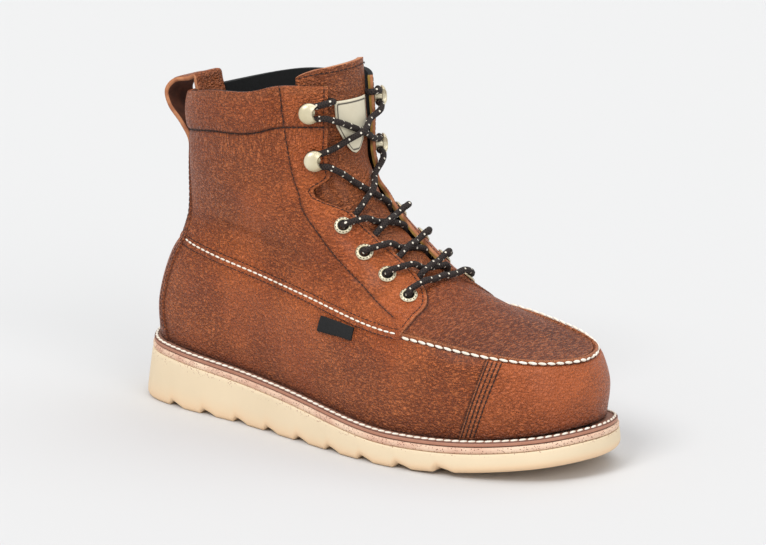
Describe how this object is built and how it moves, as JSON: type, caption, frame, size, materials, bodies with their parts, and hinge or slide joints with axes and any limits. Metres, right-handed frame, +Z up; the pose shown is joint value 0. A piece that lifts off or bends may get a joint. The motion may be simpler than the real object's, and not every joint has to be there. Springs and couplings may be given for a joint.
{
  "type": "wedge sole work boot",
  "caption": "Leather lace-up work boot with a moccasin-seam toe, padded collar, speed hooks and a thick pale wedge sole with a welt; right foot.",
  "frame": {"origin": "bottom centre of the whole boot's bounding box, on the floor", "axes": "+X from heel to toe, +Y to the inner side of the foot, +Z up"},
  "size_m": [0.308, 0.1108, 0.2035],
  "materials": {
    "wedge_rubber": "matte cast",
    "midsole_rubber": "matte, dark specks",
    "welt_leather": "natural edge with a dark line, white stitches",
    "insole_board": "plain weave",
    "russet_leather": "pebbled, semi-matte",
    "tongue_leather": "pebbled, semi-matte",
    "patch_leather": "plain, dark edge",
    "tag_fabric": "woven, bare",
    "nickel": "pale nickel plating",
    "lace_cord": "braided, pale flecks"
  },
  "bodies": {
    "root": {"outsole": "wedge_rubber", "midsole": "midsole_rubber", "welt": "welt_leather", "insole": "insole_board", "upper": "russet_leather", "tongue": "tongue_leather", "tongue_patch": "patch_leather", "side_tag": "tag_fabric", "pull_loop": "russet_leather", "eyelet_1_outer": "nickel", "eyelet_1_inner": "nickel", "eyelet_2_outer": "nickel", "eyelet_2_inner": "nickel", "eyelet_3_outer": "nickel", "eyelet_3_inner": "nickel", "eyelet_4_outer": "nickel", "eyelet_4_inner": "nickel", "speed_hook_1_outer": "nickel", "speed_hook_1_inner": "nickel", "speed_hook_2_outer": "nickel", "speed_hook_2_inner": "nickel", "lace_bar": "lace_cord", "lace_crossing_1": "lace_cord", "lace_crossing_2": "lace_cord", "lace_crossing_3": "lace_cord", "lace_crossing_4": "lace_cord", "lace_crossing_5": "lace_cord"}
  },
  "joints": []
}
